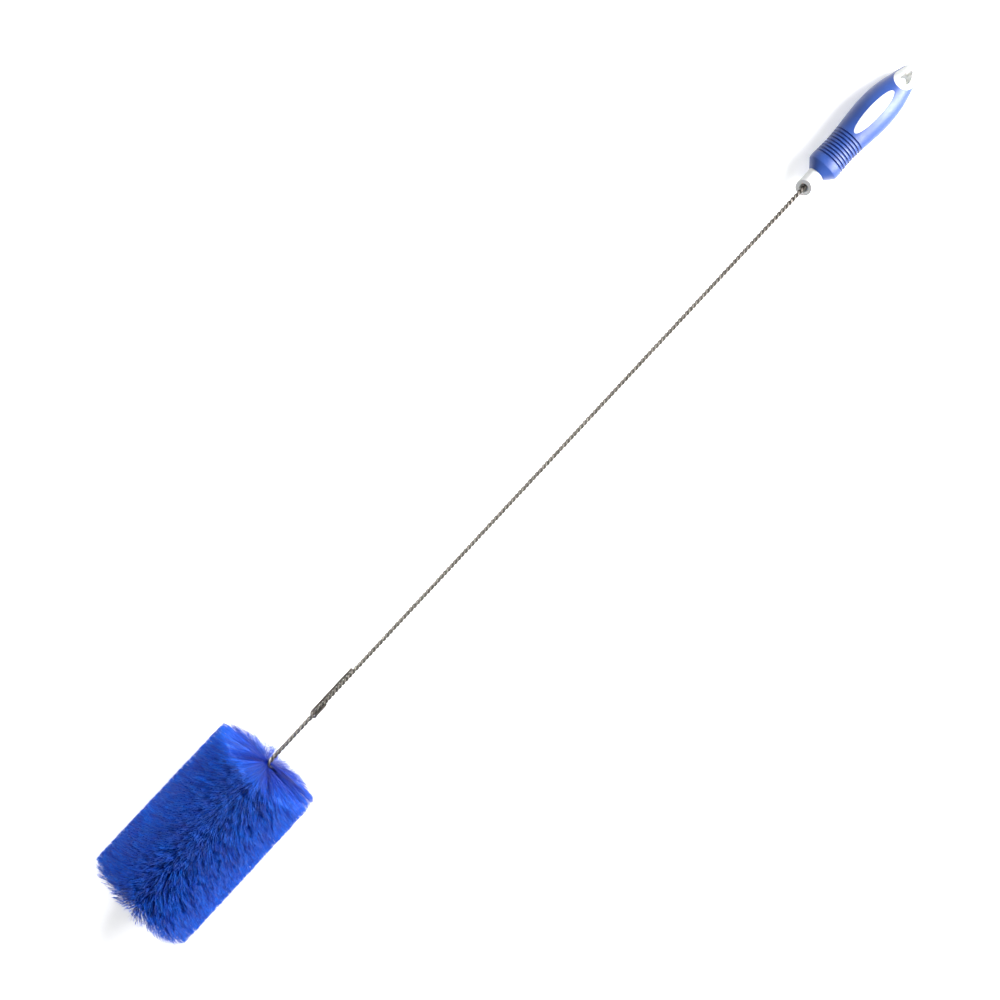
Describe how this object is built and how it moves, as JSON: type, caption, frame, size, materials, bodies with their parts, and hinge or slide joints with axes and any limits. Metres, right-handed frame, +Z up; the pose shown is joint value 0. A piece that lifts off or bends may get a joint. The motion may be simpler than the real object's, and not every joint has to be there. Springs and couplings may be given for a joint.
{
  "type": "wheel brush",
  "caption": "Long-reach wheel brush: twisted-wire head of nylon filaments, twisted-wire stem and ribbed soft-grip handle with a hanging hole.",
  "frame": {"origin": "bottom centre of the bounding box of the brush as it lies at rest on a flat surface", "axes": "+X from the head towards the handle, +Y across the wide side of the grip, +Z up"},
  "size_m": [0.9032, 0.097, 0.1036],
  "materials": {
    "wire": "satin",
    "core": "satin",
    "grip": "matte",
    "filament": "matte"
  },
  "bodies": {
    "root": {"head_wire": "wire", "stem_wire": "wire", "handle_core": "core", "handle_grip": "grip", "bristle_turn_01": "filament", "bristle_turn_02": "filament", "bristle_turn_03": "filament", "bristle_turn_04": "filament", "bristle_turn_05": "filament", "bristle_turn_06": "filament", "bristle_turn_07": "filament", "bristle_turn_08": "filament", "bristle_turn_09": "filament", "bristle_turn_10": "filament", "bristle_turn_11": "filament", "bristle_turn_12": "filament", "bristle_turn_13": "filament", "bristle_turn_14": "filament", "bristle_turn_15": "filament", "bristle_turn_16": "filament", "bristle_turn_17": "filament"}
  },
  "joints": []
}
